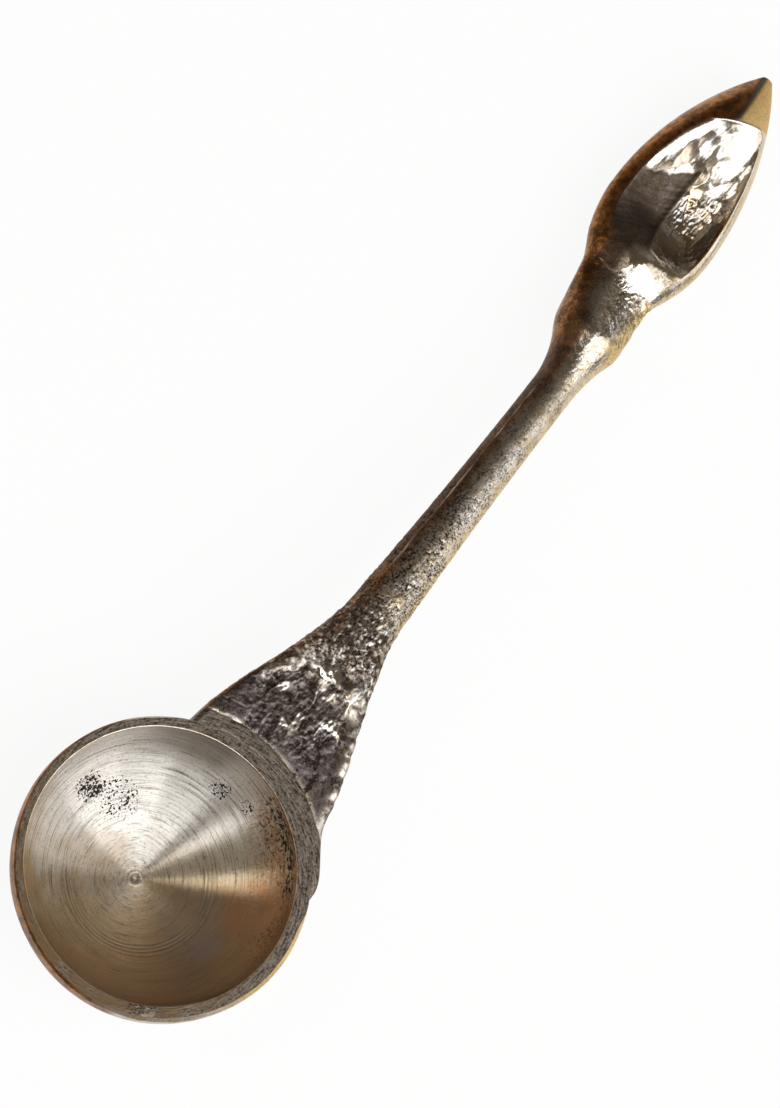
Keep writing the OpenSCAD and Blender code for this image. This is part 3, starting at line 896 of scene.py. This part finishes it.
# rings of the calyx and leaf at distances d from the stem's end: ovals on the half width, dipped at the
# saddle, bent up at the tip and sunk by each point's share of the hollow's depth
def finialRings(d):
    f, h = finial, handle
    a = sectionAngles() + 0 * d
    wide = f["leafWidth"] / 2
    half = finialHalf(d)
    before, after = d / widestAt, (d - widestAt) / f["leafTip"]
    flatten = lambda flat: np.where(d < widestAt, ease(1, flat, before), ease(flat, 1, after))
    inSaddle = np.clip((d - f["flareLength"]) / (f["lip"] - f["flareLength"]), 0, 1)
    dip = f["saddle"] * np.sin(math.pi * inSaddle) ** 2
    y, z = oval(a, half, half * flatten(f["edgeUp"] / wide) - dip, half * flatten(f["backDown"] / wide), 2.0)
    deepest = f["hollowDeepest"] + f["fold"] * bell((y - 1.0) / 4.0)
    end = f["hollowEnd"] + f["hollowSlant"] * y
    rise = np.clip((end - d) / (end - deepest), 0, 1) ** 0.85
    along = ease(0, 1, (d - f["lip"]) / (f["hollowDeepest"] - f["lip"])) * rise
    u = np.clip(np.abs(y) / np.maximum(half - np.where(y < 0, *f["hollowRim"]), 0.01), 0, 1)
    share = along * (1 - u ** np.where(y < 0, 6.0, 2.0)) ** 1.3
    top = z > 0
    share = np.where(top, share, 0)
    onLeaf = np.maximum(d - neckAt, 0) / (tipAt - neckAt)
    side = ease(0, f["leafSet"], d / f["lip"]) + (f["tipSet"] - f["leafSet"]) * onLeaf
    x = h["stemEnd"] + d + 0 * a
    z = z + f["tipUp"] * onLeaf ** 2 - f["hollowDepth"] * share
    return x, onHandle(x, side + y, z), y, share, top


# swellings of the lip where the leaf starts and of the shoulder where the calyx starts: bells of the distance
def lipSwell(d, y):
    swellings = finial["swellings"]
    return sum(high * bell(np.hypot(d - at, y - across) / wide) for at, across, wide, high in swellings)


# the rubbed and smoother middle of the lip
def lipShine(d, y):
    at, across, wide = finial["rubbedLip"]
    return bell(np.hypot(d - at, y - across) / wide)


# the calyx: the first rings of the finial, rough on the right, with painted shade on the left
def makeCalyx():
    d = np.linspace(0, neckAt, finial["calyxRows"])[:, None]
    x, points, y, _, _ = finialRings(d)
    left = ease(0, 1, (y - 0.2) / 1.4)
    rough = 0.13 * cloud(points, 0.6, 57) * ease(0, 1, (0.6 - y) / 1.5) * ease(0, 1, (d - 7) / 2)
    swell = lipSwell(d, y) * ease(0, 1, points[..., 2] - 6)
    right = ease(0, 1, (-y - 1.2) / 1.2) * ease(0, 1, (d - 5) / 2)
    # lean pushes the painted warm reflection to the left and the painted gold highlight to the right
    lean = 0.25 * left * ease(0, 1, d / 4) - 0.3 * right
    lip = lipShine(d, y)
    rough = rough * (1 - lip)
    looks = {"lean": lean, "stainAndShade": 0.7 * left * ease(1, 0, (y - 2.4) / 1), "matt": right, "worn": 0.7 * lip}
    makeTube("spoonCalyx", "calyx", x, points, swell + rough, 8 * rough, looks, 1 - 0.9 * lip)


makeCalyx()


# the leaf: the last rings of the finial, hammered in the hollow, with a keel along its fold
def makeLeaf():
    f = finial
    d = np.linspace(neckAt, tipAt, f["leafRows"])[:, None]
    x, points, y, share, top = finialRings(d)
    hammered = ease(0, 1, share * 3)
    far = ease(0, 1, (d - 24 + 0.4 * y) / 6)
    hammerSize, hammerHeight = f["hammer"]
    near = scatter(d + 0.3 * noise(points, 0.8, 60), y, hammerSize, 61)
    dimples = np.minimum(near, 0.6) ** 2 / 0.36 - 0.6
    swells = noise(points, (2.6, 1.7, 2.0), 63)
    torn = 1 - 2 * np.abs(noise(points, (0.6, 0.35, 0.8), 65))
    keel = bell((y - 0.3) / 0.7) * ease(0, 1, (d - 19) / 2) * ease(1, 0, (d - 29) / 4)

    # polished beyond this line, painted shade and streaks before it on the left, torn before it on the right
    line = np.interp(y, *f["polishLine"]) + 0.7 * cloud(points, 1.4, 67)
    before = ease(1, 0, (d - line) / 0.6)
    rightFace = hammered * before * ease(1, 0, (y + 0.8) / 0.7)
    inRim = top * ease(0, 1, (finialHalf(d) - 1.1 - y) / 0.7) * ease(0, 1, (d - 17) / 2)
    leftFace = before * ease(0, 1, (y + 0.8) / 0.7) * inRim
    across = np.stack([0.8 * d + 0.6 * y, (0.6 * d - 0.8 * y) / 9, 0 * y], -1)
    streaks = noise(across, 0.3, 69)
    relief = hammered * (hammerHeight * far * dimples + 0.06 * swells - 0.15 * keel)
    relief = relief + 0.035 * rightFace * torn + 0.014 * leftFace * streaks
    relief = relief + lipSwell(d, y) * ease(0, 1, points[..., 2] - 6)
    cavity = 0.5 * rightFace * torn + 0.6 * leftFace * streaks - 1.2 * keel * hammered

    # looks: two facets on the tip, a painted gold highlight on the right one and painted shade on the left
    # one, painted shade on the left lip and left wall, a rubbed floor and middle of the lip
    tip = ease(0, 1, (d - f["hollowEnd"] - f["hollowSlant"] * y) / 0.6)
    rightTip = ease(1, 0, (y - 0.3) / 0.3)
    # lean pushes the painted warm reflection onto the leaf's left outside and, on the tip, the painted gold
    # highlight onto its right facet
    lean = 0.35 * ease(0, 1, y / 2) * (1 - hammered)
    lean = lean + tip * (0.8 * ease(0, 1, (y - 0.6) / 0.3) - 1.2 * rightTip)
    leftLip = ease(0, 1, (y - 0.4) / 1.2) * ease(1, 0, (d - 24) / 3) * ease(1, 0, (y - 3.4) / 1)
    stainAndShade = 0.9 * np.maximum(leftLip, tip * bell((y - 0.55) / 0.6))
    stainAndShade = np.maximum(leftFace * (0.9 + 0.1 * streaks), stainAndShade)
    lip = lipShine(d, y) * top
    rubbed = hammered * ease(0, 1, (d - line) / 0.6)
    looks = {
        "dull": 0.4 * rightFace,
        "worn": np.maximum(0.8 * rubbed, 0.7 * lip),
        "stainAndShade": stainAndShade,
        "matt": 0.7 * rubbed + 0.6 * leftFace + 2.4 * tip * rightTip,
        "inside": hammered,
        "lean": lean,
        "shadeGrit": 0.48 * leftFace,
    }
    makeTube("spoonLeaf", "leaf", x, points, relief, cavity, looks, 1 - 0.9 * lip)


makeLeaf()

studio = {
    "imageWidth": 780,
    "imageHeight": 1108,
    "aim": Vector((47, -1, 7)) * mm,
    "aimPixel": (413.2, 534.7),
    "tilt": (math.radians(-18.5), math.radians(8.0)),
    "roll": math.radians(53.21),
    "distance": 800 * mm,
    "focusPixels": 7540.0,
    "sensor": 36.0,
}


# the camera looks along the tilt found from the rim's oval, rolled so that the handle climbs to the right
def makeCamera():
    s = studio
    back = Vector((math.tan(s["tilt"][0]), math.tan(s["tilt"][1]), 1)).normalized()
    ahead = (Vector((1, 0, 0)) - back * back.x).normalized()
    left = back.cross(ahead)
    right = ahead * math.cos(s["roll"]) - left * math.sin(s["roll"])
    up = ahead * math.sin(s["roll"]) + left * math.cos(s["roll"])
    step = s["distance"] / s["focusPixels"]
    offset = right * (s["imageWidth"] / 2 - s["aimPixel"][0]) - up * (s["imageHeight"] / 2 - s["aimPixel"][1])
    place = s["aim"] + back * s["distance"] + offset * step
    data = bpy.data.cameras.new("photoCamera")
    data.sensor_width = s["sensor"]
    data.lens = s["focusPixels"] * s["sensor"] / s["imageHeight"]
    data.clip_start, data.clip_end = 0.01, 20
    camera = bpy.data.objects.new("photoCamera", data)
    camera.matrix_world = Matrix((right, up, back)).transposed().to_4x4()
    camera.location = place
    bpy.context.scene.collection.objects.link(camera)
    bpy.context.scene.camera = camera


makeCamera()

# cards of light on a sphere about the bowl, as fans about the mirror direction of its flat rim: the turned
# rings show each card as a wedge between the same two angles
# for each: its angles, near reach, tilt from upright, strength and colour
cards = {
    "window": ((202, 228), 0.25, 58, 3.2, (0.97, 0.98, 1.0)),
    "nearPane": ((228, 263), 0.18, 69, 3.2, (0.98, 0.98, 1.0)),
    "farPane": ((174.5, 202), 0.25, 38, 3.4, (0.97, 0.98, 1.0)),
    "overhead": ((154, 163), 0.6, 42, 5.4, (0.98, 0.99, 1.0)),
    "warmLamp": ((121, 131.5), 0.75, 58, 4.8, (1.0, 0.91, 0.76)),
    "sideWindow": ((266, 295), 0.34, 84, 1.45, (1.0, 0.97, 0.92)),
    "leftFill": ((50, 112), 0.95, 87, 0.35, (1.0, 0.86, 0.66)),
    "tipFill": ((-40, 40), 0.35, 74, 0.25, (1.0, 0.92, 0.76)),
}
room = {"distance": 2.0, "colour": (0.11, 0.085, 0.06, 1)}


# points of a card: out from the mirror direction along each angle, from the near reach to a tilt from upright
def cardPoints(angles, near, tilt):
    turn = np.radians(np.linspace(*angles, 25))[:, None]
    away = np.stack([np.cos(turn), np.sin(turn)], -1)
    back = np.tan(studio["tilt"])
    mirror = -back / math.sqrt(1 + back @ back)
    inward = away @ mirror
    far = np.sqrt(inward ** 2 + math.sin(math.radians(tilt)) ** 2 - mirror @ mirror) - inward
    reach = near + (far - near) * np.linspace(0, 1, 9)
    flat = mirror + away * reach[..., None]
    return np.concatenate([flat, np.sqrt(1 - (flat ** 2).sum(-1, keepdims=True))], -1)


# the cards, hidden from the camera, in a dim room
def makeLight():
    for name, (angles, near, tilt, strength, colour) in cards.items():
        points = cardPoints(angles, near, tilt) * room["distance"]
        rows, columns = points.shape[:2]
        quads = gridFaces(rows, columns, 1).reshape(rows - 1, columns, 4)[:, :-1].reshape(-1, 4)
        mesh = bpy.data.meshes.new(name)
        mesh.from_pydata(points.reshape(-1, 3).tolist(), [], quads.tolist())
        material = bpy.data.materials.new(name)
        material.use_nodes = True
        tree = material.node_tree
        tree.nodes.clear()
        sockets = {"Color": (*colour, 1), "Strength": strength}
        glow = Wire(tree, None).node("ShaderNodeEmission", {}, sockets)
        tree.links.new(glow.socket, tree.nodes.new("ShaderNodeOutputMaterial").inputs[0])
        mesh.materials.append(material)
        piece = bpy.data.objects.new(name, mesh)
        piece.visible_camera = False
        bpy.context.scene.collection.objects.link(piece)
    world = bpy.data.worlds.new("room")
    world.use_nodes = True
    world.node_tree.nodes["Background"].inputs["Color"].default_value = room["colour"]
    bpy.context.scene.world = world


makeLight()

table = {"half": 3.0, "drop": 0.05 * mm, "paint": (0.92, 0.92, 0.92, 1), "glow": (1, 1, 1, 1), "own": 0.92}


# a white table: it shines white to the camera and in the metal, and keeps a part of the spoon's shadow
def makeTable():
    h, z = table["half"], -table["drop"]
    mesh = bpy.data.meshes.new("table")
    mesh.from_pydata([(-h, -h, z), (h, -h, z), (h, h, z), (-h, h, z)], [], [(0, 1, 2, 3)])
    material = bpy.data.materials.new("whiteTable")
    material.use_nodes = True
    tree = material.node_tree
    tree.nodes.clear()
    start = Wire(tree, None)
    rays = ("Is Camera Ray", "Is Glossy Ray", "Is Transmission Ray")
    seen = sum(start.node("ShaderNodeLightPath", {}, {}, ray) for ray in rays)
    paint = start.node("ShaderNodeBsdfDiffuse", {}, {"Color": table["paint"]})
    glow = start.node("ShaderNodeEmission", {}, {"Color": table["glow"], "Strength": 1.0})
    share = seen.sum("MINIMUM", seen, 1.0) * table["own"]
    mixed = start.node("ShaderNodeMixShader", {}, {0: share, 1: paint, 2: glow})
    tree.links.new(mixed.socket, tree.nodes.new("ShaderNodeOutputMaterial").inputs[0])
    mesh.materials.append(material)
    floor = bpy.data.objects.new("table", mesh)
    bpy.context.scene.collection.objects.link(floor)


makeTable()
print("camera, light and table made")

bpy.context.scene.view_settings.view_transform = "Standard"
